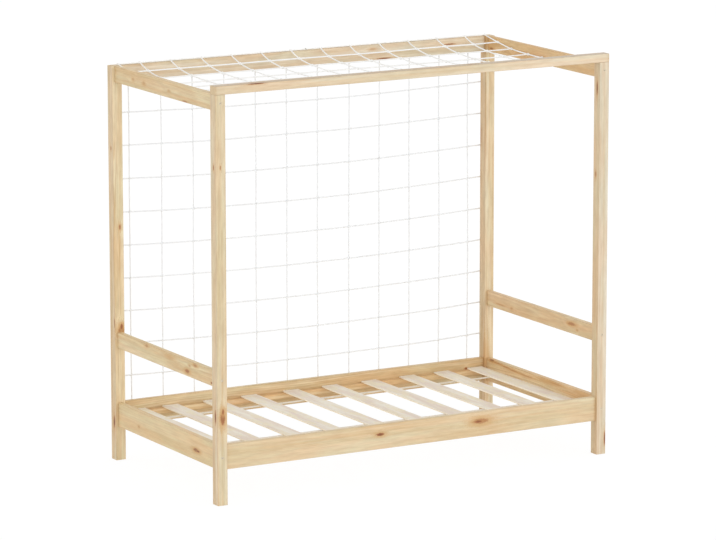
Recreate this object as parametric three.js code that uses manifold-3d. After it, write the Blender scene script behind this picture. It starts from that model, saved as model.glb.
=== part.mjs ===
// A child's four-post play bed for a 160 x 80 cm mattress, in pine, with a rope net over its
// back and a second net hung like a low roof between its two long top rails.
// Millimetres, +Z up. X runs along the bed, the open front faces -Y, and the origin is on the
// floor under the middle of the bed.

import * as THREE from 'three';
import { mergeVertices } from 'three/addons/utils/BufferGeometryUtils.js';
import Module from 'manifold-3d';

const wasm = await Module();
wasm.setup();

// Driving sizes of the frame
const mattress_length = 1600;
const mattress_width = 800;
const post_size = 40;
const post_height = 1500;
const rail_thickness = 20;
const front_top_rail_height = 31;
const back_top_rail_height = 60;
const side_rail_height = 60;
const bottom_rail_height = 92;
const floor_clearance = 130;
const mid_rail_base = 432;

// Slats, the ledgers that carry them, and the ribbons under them that join them into a mat
const slat_width = 68;
const slat_thickness = 6;
const slat_recess = 34;
const slat_end_clearance = 2;
const ledger_thickness = 20;
const ledger_height = 20;
const ribbon_width = 20;
const ribbon_thickness = 1.2;
const ribbon_from_slat_end = 160;
const ribbon_end_inset = 8;
// Where the slats lie, from the middle, as shares of their free run between the posts. They
// are laid by hand and not quite evenly.
const slat_place_shares = [
  -0.487, -0.395, -0.281, -0.172, -0.051, 0.062, 0.178, 0.291, 0.394, 0.496,
];

// Nets: a knotted cord mesh, with a border cord all round
const net_cord = 5;
const net_column_count = 14;
const back_net_row_count = 11;
const back_net_inner_share = 0.9;
const back_net_border_inset = 10;
const back_net_lap_below = 32;
const back_net_lap_above = 3;
const back_net_row_sag = 22;
const top_net_inner_share = 0.886;
const top_net_side_clearance = 2;
const top_net_sag = 50;
const top_net_front_drop = 11;
const sag_sharpness = 3;
// Where the cords of the hanging part lie, as shares of the way from its back edge to its front
const top_net_row_shares = [0.064, 0.193, 0.35, 0.478, 0.63, 0.765, 0.894, 1];

// Furniture screws, with a flat countersunk head and a hexagon socket
const screw_length = 90;
const screw_diameter = 7;
const screw_head_diameter = 10;
const screw_head_rim = 1.2;
const screw_head_cone = 1.8;
const screw_socket_width = 4;
const screw_socket_depth = 3;

// Wooden dowels, half in each of the two pieces that they join
const dowel_diameter = 10;
const rail_dowel_length = 60;
const top_dowel_length = 40;

// Wire staples that hold the nets' border cords
const staple_wire = 1.6;
const staple_leg = 12;

// Clearances and edges
const fit_gap = 0.3;
const cut_overrun = 2;
const timber_edge = 1.5;
const timber_end_chamfer = 0.5;
const slat_edge = 2;
const edge_segments = 2;
const round_segments = 12;

// Places that follow from the sizes above
const rail_inset = (post_size - rail_thickness) / 2;
const overall_length = mattress_length + 2 * (rail_inset + rail_thickness);
const overall_depth = mattress_width + 2 * (rail_inset + rail_thickness);
const post_x = (overall_length - post_size) / 2;
const post_y = (overall_depth - post_size) / 2;
const clear_length = overall_length - 2 * post_size;
const clear_depth = overall_depth - 2 * post_size;
const bottom_rail_top = floor_clearance + bottom_rail_height;
const slat_top = bottom_rail_top - slat_recess;
const ledger_top = slat_top - slat_thickness - fit_gap;
const ledger_y = (mattress_width - ledger_thickness) / 2 - fit_gap;
const ledger_length = clear_length - 2 * fit_gap;
const slat_length = mattress_width - 2 * slat_end_clearance;
const free_run = clear_length - slat_width;
const front_top_rail_base = post_height + fit_gap;
const front_top_rail_top = front_top_rail_base + front_top_rail_height;
const back_top_rail_base = post_height - back_top_rail_height;

const pine = { color: 0xe4cca0, roughness: 0.6, metalness: 0 };
const birch = { color: 0xe1d4c6, roughness: 0.65, metalness: 0 };
const beech = { color: 0xd9b98c, roughness: 0.6, metalness: 0 };
const zinc = { color: 0xb9b6ac, roughness: 0.4, metalness: 0.9 };
const rope = { color: 0xf1ede2, roughness: 0.9, metalness: 0 };
const cotton = { color: 0xf2e3cc, roughness: 0.95, metalness: 0 };

const bed = new THREE.Group();

function addMesh(parent, name, geometry, material, position) {
  const mesh = new THREE.Mesh(geometry, new THREE.MeshStandardMaterial(material));
  mesh.name = name;
  mesh.position.copy(position);
  parent.add(mesh);
  return mesh;
}

// Turns a closed three.js geometry into a solid that can be cut
function toSolid(geometry) {
  const plain = geometry.clone();
  plain.deleteAttribute('normal');
  plain.deleteAttribute('uv');
  const merged = mergeVertices(plain);
  const corners = merged.index.array;
  const triangles = [];
  for (let i = 0; i < corners.length; i += 3) {
    const [a, b, c] = corners.subarray(i, i + 3);
    if (a !== b && b !== c && c !== a) triangles.push(a, b, c);
  }
  return new wasm.Manifold(new wasm.Mesh({
    numProp: 3,
    vertProperties: new Float32Array(merged.attributes.position.array),
    triVerts: new Uint32Array(triangles),
  }));
}

function toGeometry(solid) {
  const mesh = solid.getMesh();
  const geometry = new THREE.BufferGeometry();
  geometry.setAttribute('position', new THREE.BufferAttribute(mesh.vertProperties, 3));
  geometry.setIndex(new THREE.BufferAttribute(mesh.triVerts, 1));
  geometry.computeVertexNormals();
  return geometry;
}

// A rectangle with rounded corners, centred on the origin
function roundedRectangle(width, height, radius) {
  const x = width / 2 - radius;
  const y = height / 2 - radius;
  const shape = new THREE.Shape();
  shape.absarc(x, y, radius, 0, Math.PI / 2);
  shape.absarc(-x, y, radius, Math.PI / 2, Math.PI);
  shape.absarc(-x, -y, radius, Math.PI, Math.PI * 1.5);
  shape.absarc(x, -y, radius, Math.PI * 1.5, Math.PI * 2);
  return shape;
}

// How a bar that is extruded along Z is laid along each axis
const lay_along = {
  x: new THREE.Matrix4().makeBasis(
    new THREE.Vector3(0, 1, 0), new THREE.Vector3(0, 0, 1), new THREE.Vector3(1, 0, 0)),
  y: new THREE.Matrix4().makeBasis(
    new THREE.Vector3(0, 0, 1), new THREE.Vector3(1, 0, 0), new THREE.Vector3(0, 1, 0)),
  z: new THREE.Matrix4(),
};

// A planed bar centred on the origin, with eased long edges and chamfered ends
function bar(axis, size, edge, chamfer) {
  const [width, height, length] = {
    x: [size.y, size.z, size.x], y: [size.z, size.x, size.y], z: [size.x, size.y, size.z],
  }[axis];
  const section = roundedRectangle(width - 2 * chamfer, height - 2 * chamfer, edge - chamfer);
  const geometry = new THREE.ExtrudeGeometry(section, {
    depth: length - 2 * chamfer,
    curveSegments: edge_segments,
    bevelEnabled: chamfer > 0,
    bevelThickness: chamfer,
    bevelSize: chamfer,
    bevelSegments: 1,
  });
  geometry.translate(0, 0, chamfer - length / 2);
  return geometry.applyMatrix4(lay_along[axis]);
}

// Fasteners are turned shapes along Y, with their outer end at the origin and the rest below
// it. Each is kept with its place and the shape of its hole, so that the wood can be drilled.
const fasteners = [];

function turned(profile) {
  const points = profile.map(([radius, depth]) => new THREE.Vector2(radius, -depth));
  return new THREE.LatheGeometry(points.reverse(), round_segments);
}

function screwGeometry() {
  const shank = screw_diameter / 2;
  const head = screw_head_diameter / 2;
  const body = toSolid(turned([
    [0, 0], [head, 0], [head, screw_head_rim], [shank, screw_head_rim + screw_head_cone],
    [shank, screw_length], [0, screw_length],
  ]));
  const socket_radius = screw_socket_width / Math.sqrt(3);
  const socket_cut = screw_socket_depth + cut_overrun;
  const socket = new THREE.CylinderGeometry(socket_radius, socket_radius, socket_cut, 6);
  socket.translate(0, cut_overrun - socket_cut / 2, 0);
  return toGeometry(body.subtract(toSolid(socket)));
}

function screwHole() {
  const shank = screw_diameter / 2 + fit_gap;
  const head = screw_head_diameter / 2 + fit_gap;
  return turned([
    [0, -cut_overrun], [head, -cut_overrun], [head, screw_head_rim + fit_gap],
    [shank, screw_head_rim + screw_head_cone + fit_gap],
    [shank, screw_length + fit_gap], [0, screw_length + fit_gap],
  ]);
}

function dowelGeometry(length) {
  const radius = dowel_diameter / 2;
  const face = radius - timber_end_chamfer;
  return toGeometry(toSolid(turned([
    [0, 0], [face, 0], [radius, timber_end_chamfer],
    [radius, length - timber_end_chamfer], [face, length], [0, length],
  ])));
}

function dowelHole(length) {
  const radius = dowel_diameter / 2 + fit_gap;
  return turned([
    [0, -fit_gap], [radius, -fit_gap], [radius, length + fit_gap], [0, length + fit_gap],
  ]);
}

// Puts a fastener at a point, running in a direction, and remembers its hole
function addFastener(parent, name, geometry, hole, material, start, direction) {
  const mesh = addMesh(parent, name, geometry, material, start);
  mesh.quaternion.setFromUnitVectors(new THREE.Vector3(0, -1, 0), direction);
  mesh.updateMatrix();
  fasteners.push(hole.clone().applyMatrix4(mesh.matrix));
}

// A U of wire round a border cord: its legs run down along -Y, into the wood under Y = 0
function stapleGeometry() {
  const inner = net_cord / 2 + fit_gap;
  const outer = inner + staple_wire;
  const under = net_cord + 2 * fit_gap;
  const over = under + staple_wire;
  const outline = new THREE.Shape([
    [-outer, -staple_leg], [-inner, -staple_leg], [-inner, under], [inner, under],
    [inner, -staple_leg], [outer, -staple_leg], [outer, over], [-outer, over],
  ].map(([x, y]) => new THREE.Vector2(x, y)));
  const geometry = new THREE.ExtrudeGeometry(outline, {
    depth: staple_wire, bevelEnabled: false,
  });
  return geometry.translate(0, 0, -staple_wire / 2);
}

// The two holes that a staple's legs stand in
function stapleHoles() {
  const middle = net_cord / 2 + fit_gap + staple_wire / 2;
  const side = staple_wire + 2 * fit_gap;
  const depth = staple_leg + fit_gap + cut_overrun;
  return [-middle, middle].map((x) => {
    const leg = new THREE.BoxGeometry(side, depth, side);
    return leg.translate(x, cut_overrun - depth / 2, 0);
  });
}

// Puts a staple on a wooden face. outward points out of the wood, and across is the way from
// one leg to the other.
function addStaple(parent, name, place, outward, across) {
  const mesh = addMesh(parent, name, stapleGeometry(), zinc, place);
  const along = new THREE.Vector3().crossVectors(across, outward);
  mesh.quaternion.setFromRotationMatrix(new THREE.Matrix4().makeBasis(across, outward, along));
  mesh.updateMatrix();
  for (const leg of stapleHoles()) fasteners.push(leg.applyMatrix4(mesh.matrix));
}

const toward = {
  right: new THREE.Vector3(1, 0, 0), left: new THREE.Vector3(-1, 0, 0),
  back: new THREE.Vector3(0, 1, 0), front: new THREE.Vector3(0, -1, 0),
  up: new THREE.Vector3(0, 0, 1), down: new THREE.Vector3(0, 0, -1),
};
const sides = [['left', -1], ['right', 1]];
const faces = [['front', -1], ['back', 1]];

// Heights of the side rails' middles, where one screw goes into each end
const side_rail_levels = [
  ['top_side_rail', post_height - side_rail_height / 2],
  ['mid_side_rail', mid_rail_base + side_rail_height / 2],
  ['end_bottom_rail', floor_clearance + bottom_rail_height / 2],
];

// One screw through each post into each side rail, from the front or the back of the bed
function addScrews() {
  const screws = new THREE.Group();
  for (const [face, y_sign] of faces) {
    for (const [side, x_sign] of sides) {
      for (const [rail, height] of side_rail_levels) {
        const start = new THREE.Vector3(x_sign * post_x, y_sign * overall_depth / 2, height);
        addFastener(screws, `screw_${face}_${side}_${rail}`, screwGeometry(), screwHole(),
          zinc, start, y_sign < 0 ? toward.back : toward.front);
      }
    }
  }
  bed.add(screws);
}

// Dowels: two in each end of the long rails, clear of the screws between them, and one on
// each front post under the front top rail, which lies on the posts
function addDowels() {
  const dowels = new THREE.Group();
  const rail_ends = [
    ['front_bottom_rail', -1, floor_clearance, bottom_rail_height],
    ['back_bottom_rail', 1, floor_clearance, bottom_rail_height],
    ['back_top_rail', 1, back_top_rail_base, back_top_rail_height],
  ];
  for (const [rail, y_sign, base, height] of rail_ends) {
    for (const [side, x_sign] of sides) {
      for (const [place, share] of [['low', 1 / 4], ['high', 3 / 4]]) {
        const start = new THREE.Vector3(
          x_sign * (clear_length - rail_dowel_length) / 2, y_sign * post_y,
          base + share * height);
        addFastener(dowels, `dowel_${rail}_${side}_${place}`,
          dowelGeometry(rail_dowel_length), dowelHole(rail_dowel_length),
          beech, start, x_sign < 0 ? toward.left : toward.right);
      }
    }
  }
  for (const [side, x_sign] of sides) {
    const start = new THREE.Vector3(
      x_sign * post_x, -post_y, post_height + top_dowel_length / 2);
    addFastener(dowels, `dowel_front_top_rail_${side}`,
      dowelGeometry(top_dowel_length), dowelHole(top_dowel_length),
      beech, start, toward.down);
  }
  bed.add(dowels);
}

// A wooden piece, drilled wherever a fastener passes through it
function addTimber(parent, name, axis, centre, size, material = pine, edge = timber_edge,
  chamfer = timber_end_chamfer) {
  let solid = toSolid(bar(axis, size, edge, chamfer));
  const space = new THREE.Box3().setFromCenterAndSize(centre, size);
  for (const hole of fasteners) {
    hole.computeBoundingBox();
    if (!space.intersectsBox(hole.boundingBox)) continue;
    solid = solid.subtract(toSolid(hole.clone().translate(-centre.x, -centre.y, -centre.z)));
  }
  addMesh(parent, name, toGeometry(solid), material, centre);
}

function addPosts() {
  const posts = new THREE.Group();
  const size = new THREE.Vector3(post_size, post_size, post_height);
  for (const [face, y_sign] of faces) {
    for (const [side, x_sign] of sides) {
      const centre = new THREE.Vector3(x_sign * post_x, y_sign * post_y, post_height / 2);
      addTimber(posts, `post_${face}_${side}`, 'z', centre, size);
    }
  }
  bed.add(posts);
}

function addLongRails() {
  const rails = new THREE.Group();
  const between_posts = clear_length - 2 * fit_gap;
  addTimber(rails, 'front_top_rail', 'x',
    new THREE.Vector3(0, -post_y, (front_top_rail_base + front_top_rail_top) / 2),
    new THREE.Vector3(overall_length, post_size, front_top_rail_height));
  addTimber(rails, 'back_top_rail', 'x',
    new THREE.Vector3(0, post_y, post_height - back_top_rail_height / 2),
    new THREE.Vector3(between_posts, rail_thickness, back_top_rail_height));
  for (const [face, y_sign] of faces) {
    addTimber(rails, `${face}_bottom_rail`, 'x',
      new THREE.Vector3(0, y_sign * post_y, floor_clearance + bottom_rail_height / 2),
      new THREE.Vector3(between_posts, rail_thickness, bottom_rail_height));
  }
  bed.add(rails);
}

function addSideRails() {
  const rails = new THREE.Group();
  const rail_heights = [side_rail_height, side_rail_height, bottom_rail_height];
  side_rail_levels.forEach(([rail, middle], i) => {
    for (const [side, x_sign] of sides) {
      addTimber(rails, `${rail}_${side}`, 'y',
        new THREE.Vector3(x_sign * post_x, 0, middle),
        new THREE.Vector3(rail_thickness, clear_depth - 2 * fit_gap, rail_heights[i]));
    }
  });
  bed.add(rails);
}

// The ledgers are fixed inside the long bottom rails, and the slats lie across them
function addSlatBase() {
  const base = new THREE.Group();
  for (const [face, y_sign] of faces) {
    addTimber(base, `slat_ledger_${face}`, 'x',
      new THREE.Vector3(0, y_sign * ledger_y, ledger_top - ledger_height / 2),
      new THREE.Vector3(ledger_length, ledger_thickness, ledger_height));
  }
  slat_place_shares.forEach((share, i) => {
    addTimber(base, `slat_${i + 1}`, 'y',
      new THREE.Vector3(share * free_run, 0, slat_top - slat_thickness / 2),
      new THREE.Vector3(slat_width, slat_length, slat_thickness), birch, slat_edge, 0);
  });
  bed.add(base);
}

// Two woven ribbons run under the slats, from the first to the last, and keep them apart
function addRibbons() {
  const [first_share, last_share] = [slat_place_shares[0], slat_place_shares.at(-1)];
  const length = (last_share - first_share) * free_run + slat_width - 2 * ribbon_end_inset;
  const middle = (first_share + last_share) / 2 * free_run;
  for (const [face, y_sign] of faces) {
    addMesh(bed, `slat_ribbon_${face}`,
      new THREE.BoxGeometry(length, ribbon_width, ribbon_thickness), cotton,
      new THREE.Vector3(middle, y_sign * (slat_length / 2 - ribbon_from_slat_end),
        ledger_top - ribbon_thickness / 2));
  }
}

// Columns of a net: evenly spaced inner cords, and a border cord at each side
function netColumns(border, inner_share) {
  const inner_count = net_column_count - 2;
  const columns = [-border];
  for (let i = 0; i < inner_count; i += 1) {
    columns.push(border * inner_share * (2 * i / (inner_count - 1) - 1));
  }
  columns.push(border);
  return columns;
}

// A knotted net as one closed body of square cords. Its columns are X places. Each row is a
// point of the net's path in the YZ plane, with the direction of the path there and how far
// the row sags back along it in the middle. Crossed rows carry a cord across. The rings of a
// column are listed from the start of the path: two at a crossed row, before and after the
// crossing cord, and one at a plain bend.
function netGeometry(columns, rows) {
  const half = net_cord / 2;
  const border = columns.at(-1);
  const points = [];
  const triangles = [];
  const quad = (a, b, c, d) => triangles.push(a, b, c, a, c, d);
  const rings = columns.map((x) => rows.flatMap(({ place, along, crossed, sag }) => {
    const normal = new THREE.Vector2(along.y, -along.x);
    const drop = sag * (1 - (x / border) ** 2);
    return (crossed ? [-half, half] : [0]).map((step) => {
      const first = points.length / 3;
      const middle = place.clone().addScaledVector(along, step - drop);
      for (const [right, up] of [[-1, -1], [1, -1], [1, 1], [-1, 1]]) {
        const corner = middle.clone().addScaledVector(normal, up * half);
        points.push(x + right * half, corner.x, corner.y);
      }
      return first;
    });
  }));
  const crossings = [];
  let ring_index = 0;
  for (const { crossed } of rows) {
    if (crossed) crossings.push(ring_index);
    ring_index += crossed ? 2 : 1;
  }
  const last_ring = ring_index - 1;
  rings.forEach((column, j) => {
    quad(column[0], column[0] + 3, column[0] + 2, column[0] + 1);
    const end = column[last_ring];
    quad(end, end + 1, end + 2, end + 3);
    for (let k = 0; k < last_ring; k += 1) {
      const [a, b] = [column[k], column[k + 1]];
      quad(a, a + 1, b + 1, b);
      quad(a + 2, a + 3, b + 3, b + 2);
      const crossing = crossings.includes(k);
      if (!crossing || j === columns.length - 1) quad(a + 1, a + 2, b + 2, b + 1);
      if (!crossing || j === 0) quad(a + 3, a, b, b + 3);
      if (crossing && j < columns.length - 1) {
        const [c, d] = [rings[j + 1][k], rings[j + 1][k + 1]];
        quad(a + 1, c, d, b + 1);
        quad(c + 3, a + 2, b + 2, d + 3);
        quad(a + 2, c + 3, c, a + 1);
        quad(b + 1, d, d + 3, b + 2);
      }
    }
  });
  const geometry = new THREE.BufferGeometry();
  geometry.setAttribute('position', new THREE.Float32BufferAttribute(points, 3));
  geometry.setIndex(triangles);
  geometry.computeVertexNormals();
  return geometry;
}

// How much of its full sag a net has at a share of the way between its two held edges
function sagShare(share) {
  return 1 - Math.abs(2 * share - 1) ** sag_sharpness;
}

// Rows of a net from the places on its path, each with the direction to its neighbours
function netRows(places) {
  return places.map(({ place, crossed, sag = 0 }, i) => {
    const before = places[Math.max(i - 1, 0)].place;
    const after = places[Math.min(i + 1, places.length - 1)].place;
    return { place, crossed, sag, along: after.clone().sub(before).normalize() };
  });
}

const back_net_y = overall_depth / 2 + fit_gap + net_cord / 2;
const back_net_border = overall_length / 2 - back_net_border_inset;
const back_net_low = bottom_rail_top - back_net_lap_below;
const back_net_high = back_top_rail_base + back_net_lap_above;

function addBackNet() {
  const places = [];
  for (let i = 0; i < back_net_row_count; i += 1) {
    const share = i / (back_net_row_count - 1);
    const height = THREE.MathUtils.lerp(back_net_low, back_net_high, share);
    places.push({
      place: new THREE.Vector2(back_net_y, height),
      crossed: true,
      sag: back_net_row_sag * sagShare(share),
    });
  }
  const columns = netColumns(back_net_border, back_net_inner_share);
  addMesh(bed, 'net_back', netGeometry(columns, netRows(places)), rope,
    new THREE.Vector3(0, 0, 0));
}

// The top net lies on the back top rail and the back posts, sags between the long top rails,
// and ends against the rear face of the front top rail
const top_net_border = mattress_length / 2 - top_net_side_clearance - net_cord / 2;
const top_net_back_z = post_height + fit_gap + net_cord / 2;
const top_net_front_z = front_top_rail_top - top_net_front_drop;
const top_net_edge_y = post_y - post_size / 2;
const top_net_front_y = -top_net_edge_y + fit_gap + net_cord / 2;

// Height of the hanging net at a share of the way from its back edge to its front
function topNetHeight(share) {
  const chord = THREE.MathUtils.lerp(top_net_back_z, top_net_front_z, share);
  return chord - top_net_sag * sagShare(share);
}

function addTopNet() {
  const places = [
    { place: new THREE.Vector2(post_y, top_net_back_z), crossed: true },
    { place: new THREE.Vector2(top_net_edge_y, top_net_back_z), crossed: false },
  ];
  for (const share of top_net_row_shares) {
    const y = THREE.MathUtils.lerp(top_net_edge_y, top_net_front_y, share);
    places.push({ place: new THREE.Vector2(y, topNetHeight(share)), crossed: true });
  }
  const rows = netRows(places);
  // Flat on the back rail, and square to the front rail's face where the staples hold it
  for (const row of [rows[0], rows[1], rows.at(-1)]) row.along.set(-1, 0);
  const columns = netColumns(top_net_border, top_net_inner_share);
  addMesh(bed, 'net_top', netGeometry(columns, rows), rope, new THREE.Vector3(0, 0, 0));
}

// Staples sit halfway between two columns or rows, so that they hold a bare stretch of cord
function addStaples() {
  const staples = new THREE.Group();
  const row_height = (back_net_high - back_net_low) / (back_net_row_count - 1);
  const middle_row = Math.floor(back_net_row_count / 2);
  addStaple(staples, 'net_staple_back_rail',
    new THREE.Vector3(0, post_y, post_height), toward.up, toward.front);
  addStaple(staples, 'net_staple_front_rail',
    new THREE.Vector3(0, -top_net_edge_y, top_net_front_z), toward.back, toward.up);
  for (const [side, x_sign] of sides) {
    addStaple(staples, `net_staple_back_post_${side}`,
      new THREE.Vector3(x_sign * back_net_border, overall_depth / 2,
        back_net_low + (middle_row + 0.5) * row_height),
      toward.back, toward.right);
  }
  bed.add(staples);
}

addScrews();
addDowels();
addStaples();
addPosts();
addLongRails();
addSideRails();
addSlatBase();
addRibbons();
addBackNet();
addTopNet();

// The back net's staples stand behind the posts, so the frame is set forward by half of that
bed.position.y = -(net_cord + 2 * fit_gap + staple_wire) / 2;

export default bed;
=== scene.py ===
# The looks of a child's four-post pine play bed with a rope net behind it and another for a
# roof. Sizes are in metres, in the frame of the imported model: X along the bed, -Y to the
# open front, Z up.

import math
from collections import namedtuple

import bmesh
import bpy
from mathutils import Matrix, Vector, noise


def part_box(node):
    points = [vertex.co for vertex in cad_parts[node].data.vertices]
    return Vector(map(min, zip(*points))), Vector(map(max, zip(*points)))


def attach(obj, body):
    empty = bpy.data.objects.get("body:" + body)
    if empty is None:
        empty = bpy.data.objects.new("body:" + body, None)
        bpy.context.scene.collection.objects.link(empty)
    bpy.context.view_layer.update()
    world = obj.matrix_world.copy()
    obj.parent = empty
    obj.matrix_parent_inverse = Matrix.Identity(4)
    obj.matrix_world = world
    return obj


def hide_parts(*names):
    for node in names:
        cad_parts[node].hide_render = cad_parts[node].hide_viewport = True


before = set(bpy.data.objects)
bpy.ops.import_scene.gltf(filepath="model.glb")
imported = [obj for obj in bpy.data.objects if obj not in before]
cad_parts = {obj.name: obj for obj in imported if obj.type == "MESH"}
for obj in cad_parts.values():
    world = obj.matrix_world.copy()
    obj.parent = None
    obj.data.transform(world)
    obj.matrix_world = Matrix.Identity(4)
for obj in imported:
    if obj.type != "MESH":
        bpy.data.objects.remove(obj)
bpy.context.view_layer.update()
scene = bpy.context.scene
scene.view_settings.view_transform = "Standard"

MM = 0.001
AXES = {"x": 0, "y": 1, "z": 2}
WHITE = (1, 1, 1)


# Places in the frame

def middle(node):
    low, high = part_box(node)
    return (low + high) / 2


BED_MIDDLE = (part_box("post_front_left")[0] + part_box("post_back_right")[1]) / 2
BED_MIDDLE.z = 0


def at(x, y, z):
    """A point given in millimetres from the floor under the middle of the four posts."""
    return BED_MIDDLE + Vector((x, y, z)) * MM


# The camera, fitted to the photograph. Its place is in millimetres, as for at().

CAMERA_PLACE = (-7999.96, -14082.43, 3866.14)
CAMERA_RIGHT = (0.869527, -0.493886, -0.000753)
CAMERA_UP = (0.094909, 0.165600, 0.981615)
CAMERA_FOCAL_PIXELS = 4393.27
PHOTO_WIDTH = 716
SENSOR_WIDTH_MM = 36
CAMERA_REACH = 200


def add_camera():
    data = bpy.data.cameras.new("camera")
    data.sensor_width = SENSOR_WIDTH_MM
    data.lens = SENSOR_WIDTH_MM * CAMERA_FOCAL_PIXELS / PHOTO_WIDTH
    data.clip_end = CAMERA_REACH
    camera = bpy.data.objects.new("camera", data)
    right = Vector(CAMERA_RIGHT).normalized()
    up = Vector(CAMERA_UP)
    up = (up - right * up.dot(right)).normalized()
    turn = Matrix((right, up, right.cross(up))).transposed()
    camera.matrix_world = Matrix.Translation(at(*CAMERA_PLACE)) @ turn.to_4x4()
    scene.collection.objects.link(camera)
    scene.camera = camera


# Light, floor and background. The light is that of a white studio: more comes from the sides
# than from above, a weak, wide sun shines from the front, and a weak lamp lies under the bed.

SKY_TOP = 0.50
SKY_SIDES = 1.46
KEY_LIGHT = 0.37
KEY_FROM = (0.12, -0.9, 0.3)
KEY_ANGLE = math.radians(50)
LOW_LIGHT = 0.6
LOW_LIGHT_SIZE = (1.4, 0.7)
LOW_LIGHT_HEIGHT_MM = 3
FLOOR_SIZE = 120
# How much light the floor throws back on the bed. To the camera it glows instead, and a little
# matt grey in it takes the shadows.
FLOOR_BOUNCE = 0.92
FLOOR_SEEN_WHITE = 0.90
FLOOR_SEEN_SHADE = 0.14


def math_node(tree, operation, a, b):
    """A maths node between sockets or plain numbers."""
    node = tree.nodes.new("ShaderNodeMath")
    node.operation = operation
    for value, socket in zip((a, b), node.inputs):
        if isinstance(value, bpy.types.NodeSocket):
            tree.links.new(value, socket)
        else:
            socket.default_value = value
    return node.outputs[0]


def seen_directly(tree):
    """1 for what the camera sees, also in metal and through glass, and 0 for other light."""
    path = tree.nodes.new("ShaderNodeLightPath").outputs
    mirrored = math_node(tree, "MAXIMUM", path["Is Camera Ray"], path["Is Glossy Ray"])
    return math_node(tree, "MAXIMUM", mirrored, path["Is Transmission Ray"])


def mixed(tree, share, first, second, output_kind):
    """Joins two shaders by a share of the second and sends them to the output."""
    mix = tree.nodes.new("ShaderNodeMixShader")
    tree.links.new(share, mix.inputs["Fac"])
    tree.links.new(first, mix.inputs[1])
    tree.links.new(second, mix.inputs[2])
    out = tree.nodes.new(output_kind)
    tree.links.new(mix.outputs[0], out.inputs["Surface"])


def add_world():
    world = bpy.data.worlds.new("studio")
    world.use_nodes = True
    tree = world.node_tree
    tree.nodes.clear()
    way = tree.nodes.new("ShaderNodeSeparateXYZ")
    tree.links.new(tree.nodes.new("ShaderNodeTexCoord").outputs["Generated"], way.inputs[0])
    height = math_node(tree, "ABSOLUTE", way.outputs[2], 0)
    lit = tree.nodes.new("ShaderNodeBackground")
    lit.inputs["Color"].default_value = (*WHITE, 1)
    fall = math_node(tree, "MULTIPLY", height, SKY_TOP - SKY_SIDES)
    tree.links.new(math_node(tree, "ADD", fall, SKY_SIDES), lit.inputs["Strength"])
    seen = tree.nodes.new("ShaderNodeBackground")
    seen.inputs["Color"].default_value = (*WHITE, 1)
    seen.inputs["Strength"].default_value = 1
    mixed(tree, seen_directly(tree), lit.outputs[0], seen.outputs[0], "ShaderNodeOutputWorld")
    scene.world = world


def add_key_light():
    data = bpy.data.lights.new("key", "SUN")
    data.energy = KEY_LIGHT
    data.angle = KEY_ANGLE
    lamp = bpy.data.objects.new("key", data)
    lamp.rotation_euler = Vector(KEY_FROM).to_track_quat("Z", "Y").to_euler()
    scene.collection.objects.link(lamp)


def add_low_light():
    """A weak lamp flat on the floor that shines up, which the camera doesn't see."""
    data = bpy.data.lights.new("low", "AREA")
    data.shape = "RECTANGLE"
    data.size, data.size_y = LOW_LIGHT_SIZE
    data.energy = LOW_LIGHT
    lamp = bpy.data.objects.new("low", data)
    lamp.location = at(0, 0, LOW_LIGHT_HEIGHT_MM)
    lamp.rotation_euler = (math.pi, 0, 0)
    lamp.visible_camera = False
    scene.collection.objects.link(lamp)


def matt_shader(tree, grey):
    node = tree.nodes.new("ShaderNodeBsdfDiffuse")
    node.inputs["Color"].default_value = (grey, grey, grey, 1)
    return node.outputs[0]


def add_floor():
    """A floor that looks white, with the bed's shadow on it, and throws some light back."""
    bpy.ops.mesh.primitive_plane_add(size=FLOOR_SIZE)
    floor = bpy.context.object
    floor.name = "floor"
    material = bpy.data.materials.new("floor")
    material.use_nodes = True
    tree = material.node_tree
    tree.nodes.clear()
    white = tree.nodes.new("ShaderNodeEmission")
    white.inputs["Strength"].default_value = FLOOR_SEEN_WHITE
    both = tree.nodes.new("ShaderNodeAddShader")
    tree.links.new(white.outputs[0], both.inputs[0])
    tree.links.new(matt_shader(tree, FLOOR_SEEN_SHADE), both.inputs[1])
    mixed(tree, seen_directly(tree), matt_shader(tree, FLOOR_BOUNCE), both.outputs[0],
          "ShaderNodeOutputMaterial")
    floor.data.materials.append(material)


# Helpers for node materials

# A kind of noise: how often it varies in a metre along each of three values, its detail, its
# roughness, and a factor that sets its seed apart from those of other noises
Pattern = namedtuple("Pattern", "scales detail roughness seed_factor", defaults=(2, 0.5, 1))
NOISE_MIDDLE = 0.5
BUMP_STRENGTH = 0.5
# Where the Mix node keeps its two colours and the mixed one
MIX_FIRST, MIX_SECOND, MIX_RESULT = 6, 7, 2
# How large the largest part of the normal is where an edge starts, and where it shows fully
EDGE_RANGE = (0.995, 0.86)


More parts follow.
